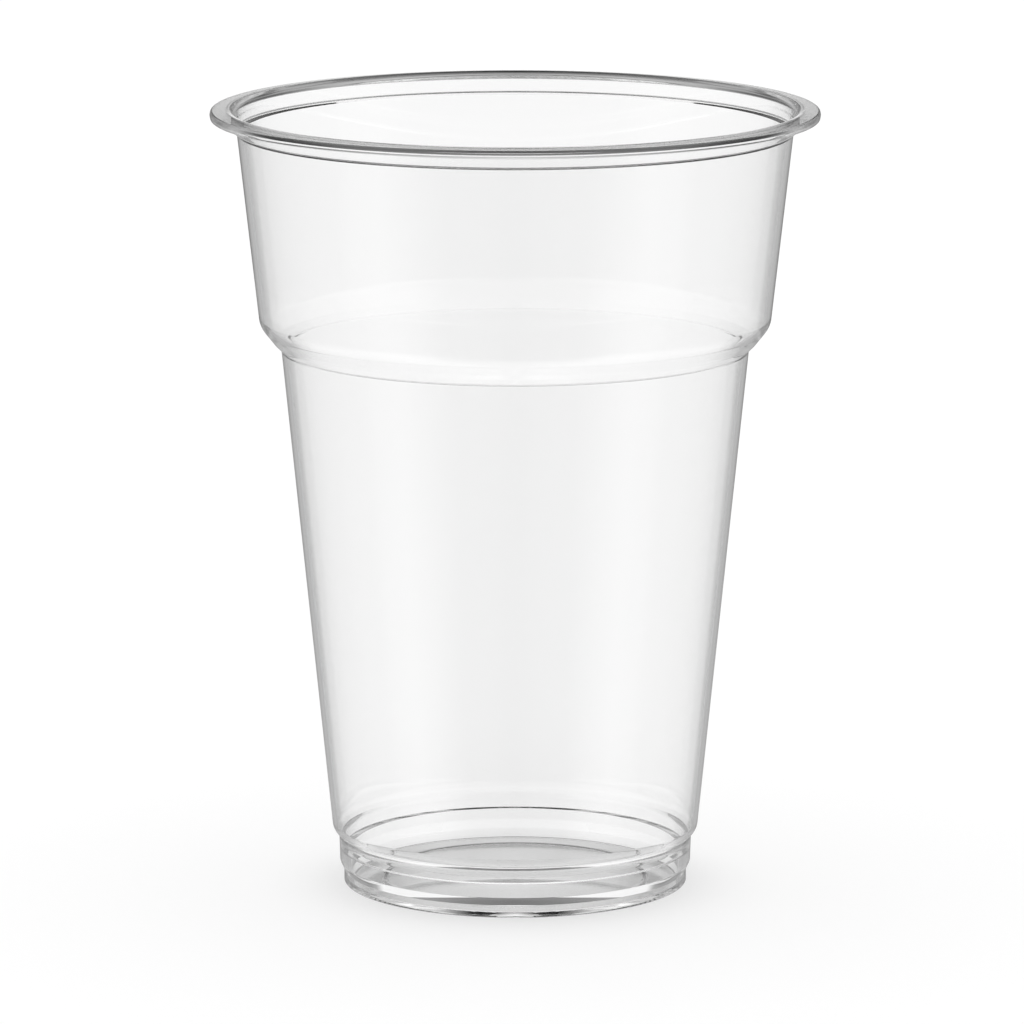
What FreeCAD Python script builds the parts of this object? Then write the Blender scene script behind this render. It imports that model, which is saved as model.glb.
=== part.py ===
"""Reusable plastic beer cup, moulded in one piece.

The cup is one wall turned about its own axis: a drinking lip on a short neck, an upper wall that
flares, a bevelled shoulder, a slimmer lower wall, two stepped bands above the table, and a floor
that is raised inside a standing ring.  One section sketch holds that wall, a revolution turns it,
and fillets round its edges.

Frame: millimetres, +Z up along the axis, origin on the table under the middle of the cup.
"""
import FreeCAD, Part
import Sketcher
import os

SIZES = {
    # whole cup
    "rim_diameter": 95.0,
    "total_height": 122.9,
    "wall": 0.7,
    # drinking lip and neck, measured down from the top and in from the rim
    "lip_overhang": 3.55,
    "lip_thickness": 1.52,
    "lip_crest_inset": 2.56,
    "lip_crest_width": 0.52,
    "lip_fall": 0.28,
    "lip_funnel": 0.55,
    "lip_undercut": 0.34,
    "lip_bulge": 0.12,
    "neck_wall": 0.61,
    "neck_flare": 0.31,
    "ledge_depth": 3.52,
    "ledge_step": 0.63,
    "ledge_rise": 0.28,
    "inner_ledge_drop": 0.19,
    # upper wall and shoulder
    "upper_taper": 0.1124,
    "shoulder_height": 89.05,
    "bevel_run": 2.13,
    "bevel_drop": 2.68,
    "return_run": 1.22,
    "return_drop": 1.22,
    "seat_lift": 0.33,
    "seat_foot_lift": 0.17,
    # lower wall, bead and stepped bands, measured up from the table
    "lower_taper": 0.1016,
    "bead_height": 8.64,
    "bead_drop": 1.04,
    "bead_step": 0.96,
    "band_taper": 0.034,
    "band_bottom": 3.35,
    "foot_band_height": 1.9,
    "foot_step": 0.64,
    # inside of the stepped bands, measured from the bead and the band outside
    "inner_bead_lift": 0.65,
    "inner_bead_drop": 2.32,
    "inner_step_depth": 2.13,
    "inner_step_drop": 0.15,
    "inner_step": 1.06,
    "bead_wall": 0.85,
    "foot_wall": 1.2,
    # floor, standing ring and gate
    "floor_thickness": 0.65,
    "foot_ring_width": 6.0,
    "floor_raise": 0.33,
    "raise_slope": 0.95,
    "inner_raise_slope": 0.25,
    "gate_radius": 3.0,
    "gate_recess": 0.2,
    "gate_slope": 0.15,
    "gate_pin_radius": 0.55,
    "gate_pin_length": 0.35,
    # rounding of the edges
    "lip_crest_round": 1.3,
    "lip_funnel_round": 1.1,
    "lip_outer_round": 0.43,
    "lip_lower_round": 0.16,
    "neck_round": 0.1,
    "ledge_round": 0.19,
    "shoulder_round": 3.4,
    "shoulder_edge_round": 1.0,
    "seat_outer_round": 3.0,
    "seat_inner_round": 1.4,
    "bead_round": 2.2,
    "band_top_round": 0.07,
    "band_edge_round": 0.22,
    "band_root_round": 0.1,
    "inner_bead_round": 2.0,
    "inner_step_round": 0.18,
    "foot_round": 0.12,
    "floor_round": 0.25,
    "raise_round": 0.35,
    "inner_raise_round": 0.08,
}

# Radii and heights that several corners share, as expressions in the sheet's names.
TOP = "sizes.total_height"
RIM = "(sizes.rim_diameter / 2)"
NECK = f"({RIM} - sizes.lip_overhang)"
NECK_INSIDE = f"({NECK} - sizes.neck_wall)"
UNDER_LIP = f"({TOP} - sizes.lip_thickness)"
LIP_EDGE = f"({TOP} - sizes.lip_fall)"
LIP_CREST = f"({RIM} - sizes.lip_crest_inset)"
LEDGE_FOOT = f"({TOP} - sizes.ledge_depth)"
LEDGE_RADIUS = f"({NECK} - sizes.ledge_step)"
INNER_LEDGE_FOOT = f"({LEDGE_FOOT} - sizes.inner_ledge_drop)"


def upper_wall(height):
    """The outside radius of the upper wall at a height."""
    return f"({LEDGE_RADIUS} - ({LEDGE_FOOT} - {height}) * sizes.upper_taper)"


SHOULDER = upper_wall("sizes.shoulder_height")
BEVEL_FOOT = "(sizes.shoulder_height - sizes.bevel_drop)"
BEVEL_RADIUS = f"({SHOULDER} - sizes.bevel_run)"
WALL_TOP = f"({BEVEL_FOOT} - sizes.return_drop)"
WALL_TOP_RADIUS = f"({BEVEL_RADIUS} - sizes.return_run)"


def lower_wall(height):
    """The outside radius of the lower wall at a height."""
    return f"({WALL_TOP_RADIUS} - ({WALL_TOP} - {height}) * sizes.lower_taper)"


BAND_TOP = "(sizes.bead_height - sizes.bead_drop)"
BAND_TOP_RADIUS = f"({lower_wall('sizes.bead_height')} - sizes.bead_step)"
BAND_RADIUS = f"({BAND_TOP_RADIUS} - ({BAND_TOP} - sizes.band_bottom) * sizes.band_taper)"
FOOT = f"({BAND_RADIUS} - sizes.foot_step)"

RECESS_FOOT = f"({FOOT} - sizes.foot_ring_width)"
RECESS_EDGE = f"({RECESS_FOOT} - sizes.raise_slope)"
RAISE_EDGE = f"({RECESS_FOOT} - sizes.inner_raise_slope)"
GATE_CEILING = "(sizes.floor_raise + sizes.gate_recess)"
GATE_TIP = f"({GATE_CEILING} - sizes.gate_pin_length)"
RAISED_FLOOR = "(sizes.floor_raise + sizes.floor_thickness)"

SEAT_TOP = "(sizes.shoulder_height + sizes.seat_lift)"
SEAT_FOOT = f"({WALL_TOP} + sizes.seat_foot_lift)"
INNER_BEAD = "(sizes.bead_height + sizes.inner_bead_lift)"
INNER_STEP = f"({BAND_TOP} - sizes.inner_step_depth)"
INNER_BAND_RADIUS = f"({BAND_TOP_RADIUS} - sizes.bead_wall)"

# The corners of the wall's section, anticlockwise from the axis: name, radius, height.
UNDERSIDE = [
    ("gate_pin_tip", "0", GATE_TIP),
    ("gate_pin_edge", "sizes.gate_pin_radius", GATE_TIP),
    ("gate_pin_root", "sizes.gate_pin_radius", GATE_CEILING),
    ("gate_recess_edge", "sizes.gate_radius - sizes.gate_slope", GATE_CEILING),
    ("gate_rim", "sizes.gate_radius", "sizes.floor_raise"),
    ("recess_edge", RECESS_EDGE, "sizes.floor_raise"),
    ("recess_foot", RECESS_FOOT, "0"),
]
OUTSIDE = [
    ("foot_corner", FOOT, "0"),
    ("foot_band_top", FOOT, "sizes.foot_band_height"),
    ("band_edge", BAND_RADIUS, "sizes.band_bottom"),
    ("band_root", BAND_TOP_RADIUS, BAND_TOP),
    ("bead_edge", lower_wall("sizes.bead_height"), "sizes.bead_height"),
    ("wall_top", WALL_TOP_RADIUS, WALL_TOP),
    ("bevel_edge", BEVEL_RADIUS, BEVEL_FOOT),
    ("shoulder_top", SHOULDER, "sizes.shoulder_height"),
    ("ledge_foot", LEDGE_RADIUS, LEDGE_FOOT),
    ("ledge_edge", NECK, f"{LEDGE_FOOT} + sizes.ledge_rise"),
    ("neck_root", NECK, f"{UNDER_LIP} + sizes.lip_undercut"),
    ("lip_lower_edge", f"{RIM} - sizes.lip_bulge", UNDER_LIP),
    ("lip_middle", RIM, f"({UNDER_LIP} + {LIP_EDGE}) / 2"),
    ("lip_upper_edge", f"{RIM} - sizes.lip_bulge", LIP_EDGE),
]
INSIDE = [
    ("lip_crest_outer", LIP_CREST, TOP),
    ("lip_crest_inner", f"{LIP_CREST} - sizes.lip_crest_width", TOP),
    ("lip_inner_edge", f"{NECK_INSIDE} + sizes.neck_flare", f"{TOP} - sizes.lip_funnel"),
    ("inner_ledge_edge", NECK_INSIDE, f"{INNER_LEDGE_FOOT} + sizes.ledge_rise"),
    ("inner_ledge_foot", f"{LEDGE_RADIUS} - sizes.wall", INNER_LEDGE_FOOT),
    ("seat_top", f"{upper_wall(SEAT_TOP)} - sizes.wall", SEAT_TOP),
    ("seat_foot", f"{lower_wall(SEAT_FOOT)} - sizes.wall", SEAT_FOOT),
    ("inner_bead", f"{lower_wall(INNER_BEAD)} - sizes.wall", INNER_BEAD),
    ("inner_band_top", INNER_BAND_RADIUS, f"{INNER_BEAD} - sizes.inner_bead_drop"),
    ("inner_step_top", INNER_BAND_RADIUS, INNER_STEP),
    ("inner_step_foot", f"{INNER_BAND_RADIUS} - sizes.inner_step", f"{INNER_STEP} - sizes.inner_step_drop"),
    ("floor_corner", f"{FOOT} - sizes.foot_wall", "sizes.floor_thickness"),
    ("floor_raise_foot", RECESS_FOOT, "sizes.floor_thickness"),
    ("floor_raise_edge", RAISE_EDGE, RAISED_FLOOR),
    ("floor_middle", "0", RAISED_FLOOR),
]
CORNERS = UNDERSIDE + OUTSIDE + INSIDE

# Which size rounds which corners, in the order the fillets are made.
ROUNDED = {
    "lip_outer_round": ["lip_upper_edge"],
    "lip_lower_round": ["lip_lower_edge"],
    "lip_crest_round": ["lip_crest_outer", "lip_crest_inner"],
    "lip_funnel_round": ["lip_inner_edge"],
    "neck_round": ["neck_root"],
    "ledge_round": ["ledge_edge", "ledge_foot", "inner_ledge_edge", "inner_ledge_foot"],
    "shoulder_round": ["shoulder_top"],
    "shoulder_edge_round": ["bevel_edge"],
    "seat_outer_round": ["seat_top"],
    "seat_inner_round": ["seat_foot"],
    "bead_round": ["bead_edge"],
    "band_top_round": ["band_root"],
    "band_edge_round": ["band_edge"],
    "band_root_round": ["foot_band_top", "wall_top"],
    "inner_bead_round": ["inner_bead", "inner_band_top"],
    "inner_step_round": ["inner_step_top", "inner_step_foot"],
    "foot_round": ["foot_corner"],
    "floor_round": ["floor_corner"],
    "raise_round": ["recess_foot", "recess_edge"],
    "inner_raise_round": ["floor_raise_foot", "floor_raise_edge"],
}

SAME_PLACE = 1e-4  # how near a ring edge lies to its corner


def make_sheet():
    """The driving dimensions, one row each: name, value."""
    sheet = doc.addObject("Spreadsheet::Sheet", "sizes")
    for row, (name, value) in enumerate(SIZES.items(), start=1):
        sheet.set(f"A{row}", name)
        sheet.set(f"B{row}", str(value))
        sheet.setAlias(f"B{row}", name)
    doc.recompute()


def size_of(expression):
    """The value that an expression in the sheet's names has now."""
    value = doc.sizes.evalExpression(expression.replace("sizes.", ""))
    return float(getattr(value, "Value", value))


def draw_section(body):
    """The closed section on the body's XZ plane, each corner tied to the sheet."""
    sketch = body.newObject("Sketcher::SketchObject", "wall_section")
    plane = next(item for item in body.Origin.OriginFeatures if item.Role == "XZ_Plane")
    sketch.AttachmentSupport = [(plane, "")]
    sketch.MapMode = "FlatFace"

    points = [FreeCAD.Vector(size_of(radius), size_of(height), 0) for _, radius, height in CORNERS]
    for start, end in zip(points, points[1:] + points[:1]):
        sketch.addGeometry(Part.LineSegment(start, end), False)
    for line in range(len(points)):
        following = (line + 1) % len(points)
        sketch.addConstraint(Sketcher.Constraint("Coincident", line, 2, following, 1))
    for line, (name, radius, height) in enumerate(CORNERS):
        for kind, way, expression in (("DistanceX", "radius", radius), ("DistanceY", "height", height)):
            label = f"{name}_{way}"
            distance = Sketcher.Constraint(kind, -1, 1, line, 1, size_of(expression))
            sketch.renameConstraint(sketch.addConstraint(distance), label)
            sketch.setExpression(f"Constraints.{label}", expression)
    return sketch


def turn_section(body, sketch):
    """The section turned once round the vertical axis."""
    turned = body.newObject("PartDesign::Revolution", "turned_wall")
    turned.Profile = sketch
    turned.ReferenceAxis = (sketch, ["V_Axis"])
    turned.Angle = 360
    body.Tip = turned
    doc.recompute()


def edges_at(shape, radius, height):
    """The names of the circular edges about the axis with this radius at this height."""
    names = []
    for number, edge in enumerate(shape.Edges, start=1):
        ring = edge.Curve
        if not isinstance(ring, Part.Circle):
            continue
        if abs(ring.Radius - radius) < SAME_PLACE and abs(ring.Center.z - height) < SAME_PLACE:
            names.append(f"Edge{number}")
    return names


def round_edges(body, size_name, corner_names):
    """A fillet of one named radius on the edges that the named corners draw."""
    before = body.Tip
    edges = []
    for name, radius, height in CORNERS:
        if name not in corner_names:
            continue
        found = edges_at(before.Shape, size_of(radius), size_of(height))
        if not found:
            raise RuntimeError(f"no edge at {name}")
        edges += found
    fillet = body.newObject("PartDesign::Fillet", f"{size_name}_fillet")
    fillet.Base = (before, edges)
    fillet.setExpression("Radius", f"sizes.{size_name}")
    body.Tip = fillet
    doc.recompute()


def make_cup():
    """The whole cup: its wall turned, then its edges rounded."""
    body = doc.addObject("PartDesign::Body", "cup")
    body.Label = "cup"
    turn_section(body, draw_section(body))
    for size_name, corner_names in ROUNDED.items():
        round_edges(body, size_name, corner_names)
    body.Placement = FreeCAD.Placement()
    return body


def check(bodies):
    """Stops if any object failed or a sub-part has no sound solid."""
    for item in doc.Objects:
        if "Invalid" in item.State or "Error" in item.State:
            raise RuntimeError(f"{item.Name} failed: {item.State}")
    for body in bodies:
        if body.Shape.isNull() or not body.Shape.isValid() or len(body.Shape.Solids) != 1:
            raise RuntimeError(f"{body.Label} has no sound solid")


doc = FreeCAD.newDocument("beer_cup")
make_sheet()
parts = [make_cup()]
doc.recompute()
check(parts)
os.makedirs("parts", exist_ok=True)
for part in parts:
    part.Shape.exportStep(f"parts/{part.Label}.step")
    box = part.Shape.optimalBoundingBox()
    print(f"{part.Label}: {box.XLength:.2f} x {box.YLength:.2f} x {box.ZLength:.2f} mm")
    print(f"{part.Label}: {part.Shape.Volume / 1000:.2f} cm3")
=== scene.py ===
"""Reusable beer cup: the looks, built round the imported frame.

The cup is one clear plastic moulding.  Its wall's section is drawn here again at the part's own
sizes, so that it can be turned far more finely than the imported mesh: clear plastic shows every facet.
"""

import math

import bmesh
import bpy
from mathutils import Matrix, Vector


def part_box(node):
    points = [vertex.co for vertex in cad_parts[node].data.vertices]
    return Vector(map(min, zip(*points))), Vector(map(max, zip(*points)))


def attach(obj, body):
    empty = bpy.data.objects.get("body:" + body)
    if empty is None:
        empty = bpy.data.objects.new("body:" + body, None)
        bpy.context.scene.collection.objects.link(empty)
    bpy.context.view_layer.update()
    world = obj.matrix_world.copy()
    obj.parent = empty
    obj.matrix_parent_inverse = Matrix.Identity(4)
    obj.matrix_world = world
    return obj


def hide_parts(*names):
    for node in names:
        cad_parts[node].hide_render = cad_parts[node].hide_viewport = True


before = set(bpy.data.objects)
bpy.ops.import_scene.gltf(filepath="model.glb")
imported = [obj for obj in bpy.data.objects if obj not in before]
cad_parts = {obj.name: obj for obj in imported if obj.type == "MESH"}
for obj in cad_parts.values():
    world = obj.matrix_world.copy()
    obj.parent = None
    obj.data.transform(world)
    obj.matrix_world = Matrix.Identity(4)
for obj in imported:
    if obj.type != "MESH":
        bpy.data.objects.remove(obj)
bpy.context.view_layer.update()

MM = 0.001


# ---------------------------------------------------------------- the camera, in metres

VIEW_DISTANCE = 1.1696
VIEW_HEIGHT = 0.280
VIEW_TARGET = 0.0589    # the height that it looks at
VIEW_ASIDE = -0.00050
LENS = 266.54           # millimetres, and so is the sensor
SENSOR = 36


def make_camera():
    """A long lens, higher than the rim, looking at the middle of the cup."""
    data = bpy.data.cameras.new("camera")
    data.lens = LENS
    data.sensor_width = SENSOR
    camera = bpy.data.objects.new("camera", data)
    camera.location = (VIEW_ASIDE, -VIEW_DISTANCE, VIEW_HEIGHT)
    target = Vector((VIEW_ASIDE, 0, VIEW_TARGET))
    camera.rotation_euler = (target - camera.location).to_track_quat("-Z", "Y").to_euler()
    bpy.context.scene.collection.objects.link(camera)
    bpy.context.scene.camera = camera


# ---------------------------------------------------------------- the wall's section, in millimetres

CUP_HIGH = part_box("cup")[1]
RIM = CUP_HIGH.x / MM
TOP = CUP_HIGH.z / MM

WALL = 0.7
LIP_OVERHANG = 3.55
LIP_THICKNESS = 1.52
LIP_CREST_INSET = 2.56
LIP_CREST_WIDTH = 0.52
LIP_FALL = 0.28
LIP_FUNNEL = 0.55
LIP_UNDERCUT = 0.34
LIP_BULGE = 0.12
NECK_WALL = 0.61
NECK_FLARE = 0.31
LEDGE_DEPTH = 3.52
LEDGE_STEP = 0.63
LEDGE_RISE = 0.28
INNER_LEDGE_DROP = 0.19
UPPER_TAPER = 0.1124
SHOULDER_HEIGHT = 89.05
BEVEL_RUN = 2.13
BEVEL_DROP = 2.68
RETURN_RUN = 1.22
RETURN_DROP = 1.22
SEAT_LIFT = 0.33
SEAT_FOOT_LIFT = 0.17
LOWER_TAPER = 0.1016
BEAD_HEIGHT = 8.64
BEAD_DROP = 1.04
BEAD_STEP = 0.96
BAND_TAPER = 0.034
BAND_BOTTOM = 3.35
FOOT_BAND_HEIGHT = 1.9
FOOT_STEP = 0.64
INNER_BEAD_LIFT = 0.65
INNER_BEAD_DROP = 2.32
INNER_STEP_DEPTH = 2.13
INNER_STEP_DROP = 0.15
INNER_STEP = 1.06
BEAD_WALL = 0.85
FOOT_WALL = 1.2
FLOOR_THICKNESS = 0.65
FOOT_RING_WIDTH = 6.0
FLOOR_RAISE = 0.33
RAISE_SLOPE = 0.95
INNER_RAISE_SLOPE = 0.25
GATE_RADIUS = 3.0
GATE_RECESS = 0.2
GATE_SLOPE = 0.15
GATE_PIN_RADIUS = 0.55
GATE_PIN_LENGTH = 0.35

LIP_CREST_ROUND = 1.3
LIP_FUNNEL_ROUND = 1.1
LIP_OUTER_ROUND = 0.43
LIP_LOWER_ROUND = 0.16
LIP_BULGE_ROUND = 0.2
NECK_ROUND = 0.1
LEDGE_ROUND = 0.19
SHOULDER_ROUND = 3.4
SHOULDER_EDGE_ROUND = 1.0
SEAT_OUTER_ROUND = 3.0
SEAT_INNER_ROUND = 1.4
BEAD_ROUND = 2.2
INNER_BEAD_ROUND = 2.0
INNER_STEP_ROUND = 0.18
BAND_TOP_ROUND = 0.07
BAND_EDGE_ROUND = 0.22
BAND_ROOT_ROUND = 0.1
FOOT_ROUND = 0.12
FLOOR_ROUND = 0.25
RAISE_ROUND = 0.35
INNER_RAISE_ROUND = 0.08
GATE_ROUND = 0.06


def section_corners():
    """The corners of the wall's section, anticlockwise from the axis: radius, height, rounding."""
    neck = RIM - LIP_OVERHANG
    neck_inside = neck - NECK_WALL
    under_lip = TOP - LIP_THICKNESS
    lip_edge = TOP - LIP_FALL
    ledge = TOP - LEDGE_DEPTH
    ledge_radius = neck - LEDGE_STEP

    def upper_wall(height):
        return ledge_radius - (ledge - height) * UPPER_TAPER

    shoulder = upper_wall(SHOULDER_HEIGHT)
    bevel_foot = SHOULDER_HEIGHT - BEVEL_DROP
    bevel_radius = shoulder - BEVEL_RUN
    wall_top = bevel_foot - RETURN_DROP
    wall_top_radius = bevel_radius - RETURN_RUN

    def lower_wall(height):
        return wall_top_radius - (wall_top - height) * LOWER_TAPER

    band_top = BEAD_HEIGHT - BEAD_DROP
    band_top_radius = lower_wall(BEAD_HEIGHT) - BEAD_STEP
    band_radius = band_top_radius - (band_top - BAND_BOTTOM) * BAND_TAPER
    foot = band_radius - FOOT_STEP

    recess_foot = foot - FOOT_RING_WIDTH
    recess_edge = recess_foot - RAISE_SLOPE
    gate_ceiling = FLOOR_RAISE + GATE_RECESS
    gate_tip = gate_ceiling - GATE_PIN_LENGTH
    raised_floor = FLOOR_RAISE + FLOOR_THICKNESS

    seat_top = SHOULDER_HEIGHT + SEAT_LIFT
    seat_foot = wall_top + SEAT_FOOT_LIFT
    inner_bead = BEAD_HEIGHT + INNER_BEAD_LIFT
    inner_step = band_top - INNER_STEP_DEPTH
    inner_band = band_top_radius - BEAD_WALL

    return [
        # underside
        (0, gate_tip, 0),
        (GATE_PIN_RADIUS, gate_tip, GATE_ROUND),
        (GATE_PIN_RADIUS, gate_ceiling, GATE_ROUND),
        (GATE_RADIUS - GATE_SLOPE, gate_ceiling, GATE_ROUND),
        (GATE_RADIUS, FLOOR_RAISE, GATE_ROUND),
        (recess_edge, FLOOR_RAISE, RAISE_ROUND),
        (recess_foot, 0, RAISE_ROUND),
        # outside
        (foot, 0, FOOT_ROUND),
        (foot, FOOT_BAND_HEIGHT, BAND_ROOT_ROUND),
        (band_radius, BAND_BOTTOM, BAND_EDGE_ROUND),
        (band_top_radius, band_top, BAND_TOP_ROUND),
        (lower_wall(BEAD_HEIGHT), BEAD_HEIGHT, BEAD_ROUND),
        (wall_top_radius, wall_top, BAND_ROOT_ROUND),
        (bevel_radius, bevel_foot, SHOULDER_EDGE_ROUND),
        (shoulder, SHOULDER_HEIGHT, SHOULDER_ROUND),
        (ledge_radius, ledge, LEDGE_ROUND),
        (neck, ledge + LEDGE_RISE, LEDGE_ROUND),
        (neck, under_lip + LIP_UNDERCUT, NECK_ROUND),
        (RIM - LIP_BULGE, under_lip, LIP_LOWER_ROUND),
        (RIM, (under_lip + lip_edge) / 2, LIP_BULGE_ROUND),
        (RIM - LIP_BULGE, lip_edge, LIP_OUTER_ROUND),
        # inside
        (RIM - LIP_CREST_INSET, TOP, LIP_CREST_ROUND),
        (RIM - LIP_CREST_INSET - LIP_CREST_WIDTH, TOP, LIP_CREST_ROUND),
        (neck_inside + NECK_FLARE, TOP - LIP_FUNNEL, LIP_FUNNEL_ROUND),
        (neck_inside, ledge + LEDGE_RISE - INNER_LEDGE_DROP, LEDGE_ROUND),
        (ledge_radius - WALL, ledge - INNER_LEDGE_DROP, LEDGE_ROUND),
        (upper_wall(seat_top) - WALL, seat_top, SEAT_OUTER_ROUND),
        (lower_wall(seat_foot) - WALL, seat_foot, SEAT_INNER_ROUND),
        (lower_wall(inner_bead) - WALL, inner_bead, INNER_BEAD_ROUND),
        (inner_band, inner_bead - INNER_BEAD_DROP, INNER_BEAD_ROUND),
        (inner_band, inner_step, INNER_STEP_ROUND),
        (inner_band - INNER_STEP, inner_step - INNER_STEP_DROP, INNER_STEP_ROUND),
        (foot - FOOT_WALL, FLOOR_THICKNESS, FLOOR_ROUND),
        (recess_foot, FLOOR_THICKNESS, INNER_RAISE_ROUND),
        (recess_foot - INNER_RAISE_SLOPE, raised_floor, INNER_RAISE_ROUND),
        (0, raised_floor, 0),
    ]


# ---------------------------------------------------------------- turning the section

TURNS = 288                         # steps round the axis
ARC_STEP = math.radians(9)          # the most that one step of an arc turns
LEAST_TURN = math.radians(0.5)      # a corner that turns less than this is left out
ARC_SHARE = 0.499                   # the most of a run that the arc at one end of it takes up
LONGEST_ARC_STEP = 0.5              # millimetres: any longer step along the section is a straight run
LONGEST_RUN = 6.0                   # and the longest step that a straight run is cut into
EDGE_GUARD = 0.04                   # a run's first and last step, which keep its shading straight
ON_AXIS = 1e-6                      # metres: a point closer to the axis than this is on it


def rounded(corners):
    """The section's points, with an arc of each corner's own radius in place of the corner."""
    points = [Vector(corners[0][:2])]
    for before, corner, after in zip(corners, corners[1:], corners[2:]):
        here = Vector(corner[:2])
        back = Vector(before[:2]) - here
        ahead = Vector(after[:2]) - here
        half = back.angle(ahead) / 2
        turn = math.pi - 2 * half
        if turn < LEAST_TURN:
            continue
        reach = min(corner[2] / math.tan(half), ARC_SHARE * back.length, ARC_SHARE * ahead.length)
        radius = reach * math.tan(half)
        inward = (back.normalized() + ahead.normalized()).normalized()
        centre = here + inward * (radius / math.sin(half))
        start = here + back.normalized() * reach - centre
        sign = 1 if back.cross(ahead) < 0 else -1
        steps = max(2, math.ceil(turn / ARC_STEP))
        for step in range(steps + 1):
            angle = sign * turn * step / steps
            spun = Vector((start.x * math.cos(angle) - start.y * math.sin(angle),
                           start.x * math.sin(angle) + start.y * math.cos(angle)))
            points.append(centre + spun)
    points.append(Vector(corners[-1][:2]))
    return points


def guarded(points):
    """The points with each straight run cut up, its end steps short."""
    full = [points[0]]
    for start, end in zip(points, points[1:]):
        run = (end - start).length
        if run > LONGEST_ARC_STEP:
            count = math.ceil(run / LONGEST_RUN)
            places = [EDGE_GUARD] + [run * n / count for n in range(1, count)] + [run - EDGE_GUARD]
            full += [start.lerp(end, place / run) for place in places]
        full.append(end)
    return full


def turned(name, outline):
    """A closed mesh: the outline turned once round the Z axis. It starts and ends on the axis."""
    mesh = bmesh.new()
    rings = []
    for point in outline:
        radius, height = point * MM
        if radius < ON_AXIS:
            rings.append([mesh.verts.new((0, 0, height))])
            continue
        ring = []
        for turn in range(TURNS):
            angle = 2 * math.pi * turn / TURNS
            ring.append(mesh.verts.new((radius * math.cos(angle), radius * math.sin(angle), height)))
        rings.append(ring)
    for inner, outer in zip(rings, rings[1:]):
        for turn in range(TURNS):
            following = (turn + 1) % TURNS
            if len(inner) == 1:
                mesh.faces.new((inner[0], outer[following], outer[turn]))
            elif len(outer) == 1:
                mesh.faces.new((inner[turn], inner[following], outer[0]))
            else:
                mesh.faces.new((inner[turn], inner[following], outer[following], outer[turn]))
    bmesh.ops.recalc_face_normals(mesh, faces=mesh.faces)
    for face in mesh.faces:
        face.smooth = True
    return linked(name, mesh)


def linked(name, mesh):
    """The finished mesh as an object in the scene."""
    data = bpy.data.meshes.new(name)
    mesh.to_mesh(data)
    mesh.free()
    piece = bpy.data.objects.new(name, data)
    bpy.context.scene.collection.objects.link(piece)
    return piece


# ---------------------------------------------------------------- shader nodes

def empty_material(name):
    """A material without nodes but its output: the material, its tree and the output's socket."""
    material = bpy.data.materials.new(name)
    material.use_nodes = True
    tree = material.node_tree
    tree.nodes.clear()
    output = tree.nodes.new("ShaderNodeOutputMaterial")
    return material, tree, output.inputs["Surface"]


def feed(tree, socket, value):
    """Give a socket its value: a link from another socket, or a plain number."""
    if isinstance(value, (int, float)):
        socket.default_value = value
    else:
        tree.links.new(value, socket)


def math_node(tree, operation, *values):
    """The result of one sum on sockets or plain numbers."""
    node = tree.nodes.new("ShaderNodeMath")
    node.operation = operation
    for socket, value in zip(node.inputs, values):
        feed(tree, socket, value)
    return node.outputs["Value"]


def coordinates(tree, kind):
    """The sockets X, Y and Z of one of the coordinate node's outputs."""
    place = tree.nodes.new("ShaderNodeTexCoord")
    split = tree.nodes.new("ShaderNodeSeparateXYZ")
    tree.links.new(place.outputs[kind], split.inputs["Vector"])
    return split.outputs


def noise(tree, stretch, scale, detail):
    """Noise in the cup's own space, its height stretched or squeezed first."""
    place = tree.nodes.new("ShaderNodeTexCoord")
    mapping = tree.nodes.new("ShaderNodeMapping")
    mapping.inputs["Scale"].default_value = (1, 1, stretch)
    tree.links.new(place.outputs["Object"], mapping.inputs["Vector"])
    texture = tree.nodes.new("ShaderNodeTexNoise")
    texture.inputs["Scale"].default_value = scale
    texture.inputs["Detail"].default_value = detail
    tree.links.new(mapping.outputs["Vector"], texture.inputs["Vector"])
    return texture.outputs["Fac"]


def ramp(tree, value, stops):
    """A grey for each value: the stops are (value, grey), with straight runs between them."""
    lowest, highest = stops[0][0], stops[-1][0]
    node = tree.nodes.new("ShaderNodeMapRange")
    node.inputs["From Min"].default_value = lowest
    node.inputs["From Max"].default_value = highest
    tree.links.new(value, node.inputs["Value"])
    colours = tree.nodes.new("ShaderNodeValToRGB")
    elements = colours.color_ramp.elements
    while len(elements) < len(stops):
        elements.new(0.5)
    for element, (stop, grey) in zip(elements, stops):
        element.position = (stop - lowest) / (highest - lowest)
        element.color = (grey, grey, grey, 1)
    tree.links.new(node.outputs["Result"], colours.inputs["Fac"])
    return colours.outputs["Color"]


def pick(tree, factor, off, on):
    """off where the factor is 0, on where it is 1: colours or greys."""
    node = tree.nodes.new("ShaderNodeMix")
    node.data_type = "RGBA"
    tree.links.new(factor, node.inputs["Factor"])
    for name, value in (("A", off), ("B", on)):
        socket = next(s for s in node.inputs if s.name == name and s.type == "RGBA")
        if isinstance(value, (int, float)):
            socket.default_value = (value, value, value, 1)
        else:
            tree.links.new(value, socket)
    return next(s for s in node.outputs if s.type == "RGBA")


def pick_shader(tree, factor, off, on):
    """The shader off where the factor is 0, on where it is 1, and a mixture in between."""
    node = tree.nodes.new("ShaderNodeMixShader")
    feed(tree, node.inputs["Fac"], factor)
    tree.links.new(off, node.inputs[1])
    tree.links.new(on, node.inputs[2])
    return node.outputs["Shader"]


def ray(tree, question):
    """What the light path node says of the ray."""
    return tree.nodes.new("ShaderNodeLightPath").outputs[question]


def has_had(tree, depth):
    """1 for a ray with at least one bounce of the kind that this depth counts."""
    return math_node(tree, "GREATER_THAN", ray(tree, depth), 0.5)


# ---------------------------------------------------------------- the plastic

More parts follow.
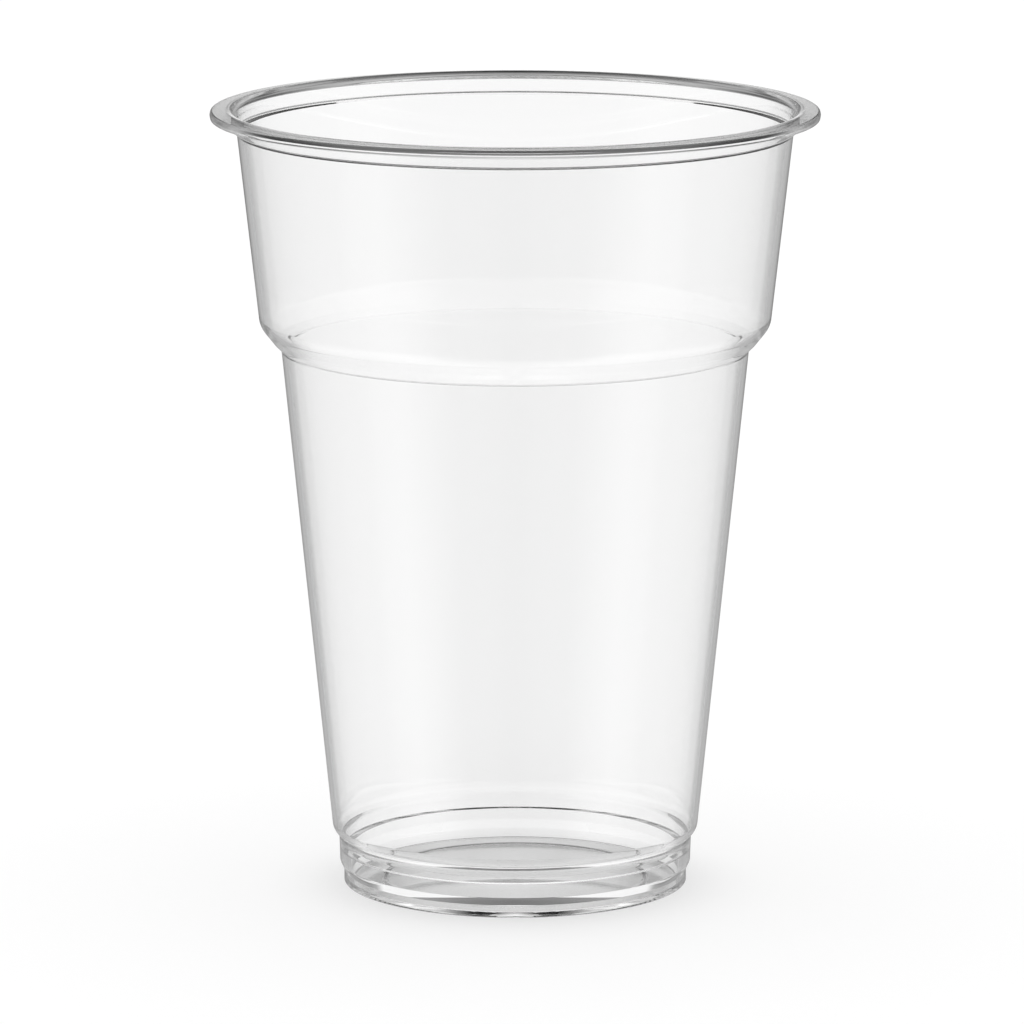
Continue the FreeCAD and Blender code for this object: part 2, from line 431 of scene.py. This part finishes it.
REFRACTION = 1.52       # the plastic's index
HANDLING_SCALE = 70     # patches of faint haze, per metre
HANDLING_DETAIL = 4
HANDLING_HAZE = 0.02    # the roughness of the haziest
FLOW_SCALE = 160        # waves in the surface, per metre across the flow
FLOW_STRETCH = 0.3      # and how much slower they change up the wall, along it
FLOW_DETAIL = 2
FLOW_DEPTH = 0.000004   # metres
# The share of a lamp's light that passes one surface, by the height in millimetres: the floor is
# clear, the stepped foot scatters much of the light, and the wall casts no shadow.
LETS_THROUGH = [(0, 0.95), (1.2, 0.95), (1.5, 0.6), (8, 0.6), (11, 1.0), (TOP, 1.0)]


def clear_plastic():
    """Clear plastic from a polished mould, with the faint waves that its flow leaves."""
    material, tree, surface = empty_material("clear_plastic")
    plastic = tree.nodes.new("ShaderNodeBsdfPrincipled")
    plastic.inputs["Base Color"].default_value = (1, 1, 1, 1)
    plastic.inputs["Transmission Weight"].default_value = 1
    plastic.inputs["IOR"].default_value = REFRACTION

    handling = noise(tree, 1, HANDLING_SCALE, HANDLING_DETAIL)
    haze = math_node(tree, "MULTIPLY", handling, HANDLING_HAZE)
    tree.links.new(haze, plastic.inputs["Roughness"])
    flow = tree.nodes.new("ShaderNodeBump")
    flow.inputs["Strength"].default_value = 1
    flow.inputs["Distance"].default_value = FLOW_DEPTH
    tree.links.new(noise(tree, FLOW_STRETCH, FLOW_SCALE, FLOW_DETAIL), flow.inputs["Height"])
    tree.links.new(flow.outputs["Normal"], plastic.inputs["Normal"])

    height = math_node(tree, "DIVIDE", coordinates(tree, "Object")["Z"], MM)
    through = tree.nodes.new("ShaderNodeBsdfTransparent")
    tree.links.new(ramp(tree, height, LETS_THROUGH), through.inputs["Color"])
    shadow = ray(tree, "Is Shadow Ray")
    shader = pick_shader(tree, shadow, plastic.outputs["BSDF"], through.outputs["BSDF"])
    tree.links.new(shader, surface)
    return material


# ---------------------------------------------------------------- the studio

FLOOR_RADIUS = 4.0
FLOOR_SIDES = 96
FLOOR_GAP = 0.00005             # keeps the foot's own face clear of the floor's
FLOOR_GREY = 0.9                # the paper
FLOOR_GLOW = 0.45               # and how much of its white is its own glow
AMBIENT = 0.35                  # what lights the floor from all round
OVERHEAD = 2.65                 # and the soft lamp above it
OVERHEAD_SPREAD = math.radians(100)
OVERHEAD_TILT = math.radians(-16)

# What shows through the cup: (degrees above the horizon, grey).
THROUGH = [(-90, 1.0), (4.5, 1.0), (5, 0.17), (14, 0.17), (22, 0.35), (35, 0.0), (90, 0.0)]

# What the cup mirrors. Each band of heights is a list of (degrees from straight behind the cup, grey),
# the same to the left and to the right.
DEEP = [(0, 1.2), (48, 0.6), (118, 1.3), (180, 0.8)]
BELOW = [(0, 1.6), (20, 0.4), (60, 1.1), (118, 1.4), (135, 1.2), (150, 0.3), (180, 0.0)]
LEVEL = [(0, 0.9), (5, 0.2), (20, 0.5), (36, 0.38), (38, 0.58), (97, 0.2), (99, 0.3), (118, 0.3),
         (135, 0.05), (180, 0.0)]
LIFTED = [(0, 0.8), (5, 0.0), (10, 0.0), (20, 0.7), (48, 0.65), (60, 0.2), (97, 0.2), (118, 0.6),
          (180, 0.15)]
RAISED = [(0, 0.3), (10, 0.0), (20, 0.5), (97, 0.8), (150, 0.5), (180, 0.2)]
HIGH = [(0, 0.0), (48, 0.65), (97, 0.7), (135, 0.4), (180, 0.4)]
# The bands from the lowest up, and the degrees above the horizon between which each gives way to the
# next.
BANDS = [DEEP, BELOW, LEVEL, LIFTED, RAISED, HIGH]
BAND_EDGES = [(-60, -35), (-35, -10), (5, 12), (12, 22), (22, 35)]


def floor_white():
    """White paper that keeps the cup's shadow. A mirrored ray goes past it, into the studio."""
    material, tree, surface = empty_material("floor_white")
    paper = tree.nodes.new("ShaderNodeBsdfDiffuse")
    paper.inputs["Color"].default_value = (FLOOR_GREY, FLOOR_GREY, FLOOR_GREY, 1)
    glow = tree.nodes.new("ShaderNodeEmission")
    white = pick_shader(tree, FLOOR_GLOW, paper.outputs["BSDF"], glow.outputs["Emission"])
    beyond = tree.nodes.new("ShaderNodeBsdfTransparent")
    mirrored = has_had(tree, "Glossy Depth")
    tree.links.new(pick_shader(tree, mirrored, white, beyond.outputs["BSDF"]), surface)
    return material


def make_floor():
    """A wide round sheet of white paper under the cup."""
    mesh = bmesh.new()
    bmesh.ops.create_circle(mesh, cap_ends=True, segments=FLOOR_SIDES, radius=FLOOR_RADIUS)
    floor = linked("floor", mesh)
    floor.location.z = -FLOOR_GAP
    floor.data.materials.append(floor_white())


def make_lamp():
    """A wide soft lamp overhead, for the floor and the cup's shadow: the cup doesn't mirror it."""
    data = bpy.data.lights.new("overhead", "SUN")
    data.energy = OVERHEAD
    data.angle = OVERHEAD_SPREAD
    lamp = bpy.data.objects.new("overhead", data)
    lamp.rotation_euler = (OVERHEAD_TILT, 0, 0)
    lamp.visible_glossy = False
    lamp.visible_transmission = False
    bpy.context.scene.collection.objects.link(lamp)


def make_world():
    """The studio round the cup: each kind of ray sees its own greys there, and the camera white."""
    world = bpy.data.worlds.new("studio")
    bpy.context.scene.world = world
    world.use_nodes = True
    tree = world.node_tree
    tree.nodes.clear()
    output = tree.nodes.new("ShaderNodeOutputWorld")
    background = tree.nodes.new("ShaderNodeBackground")
    tree.links.new(background.outputs["Background"], output.inputs["Surface"])

    direction = coordinates(tree, "Generated")
    height = math_node(tree, "DEGREES", math_node(tree, "ARCSINE", direction["Z"]))
    turn = math_node(tree, "ARCTAN2", direction["X"], direction["Y"])
    angle = math_node(tree, "DEGREES", math_node(tree, "ABSOLUTE", turn))
    mirrored = ramp(tree, angle, BANDS[0])
    for (lowest, highest), band in zip(BAND_EDGES, BANDS[1:]):
        share = ramp(tree, height, [(lowest, 0.0), (highest, 1.0)])
        mirrored = pick(tree, share, mirrored, ramp(tree, angle, band))

    colour = pick(tree, has_had(tree, "Glossy Depth"), ramp(tree, height, THROUGH), mirrored)
    colour = pick(tree, has_had(tree, "Diffuse Depth"), colour, AMBIENT)
    colour = pick(tree, ray(tree, "Is Camera Ray"), colour, 1.0)
    tree.links.new(colour, background.inputs["Color"])


# ---------------------------------------------------------------- the scene

LONGEST_PATH = 40       # bounces: light runs a long way inside a clear wall before it leaves


def allow_long_paths():
    """Let light bounce often enough to leave the wall again."""
    limits = bpy.context.scene.cycles
    limits.max_bounces = LONGEST_PATH
    limits.glossy_bounces = LONGEST_PATH
    limits.transmission_bounces = LONGEST_PATH


bpy.context.scene.view_settings.view_transform = "Standard"
allow_long_paths()
make_camera()
make_floor()
make_lamp()
make_world()

cup = turned("beer_cup", guarded(rounded(section_corners())))
cup.data.materials.append(clear_plastic())
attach(cup, "root")
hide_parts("cup")
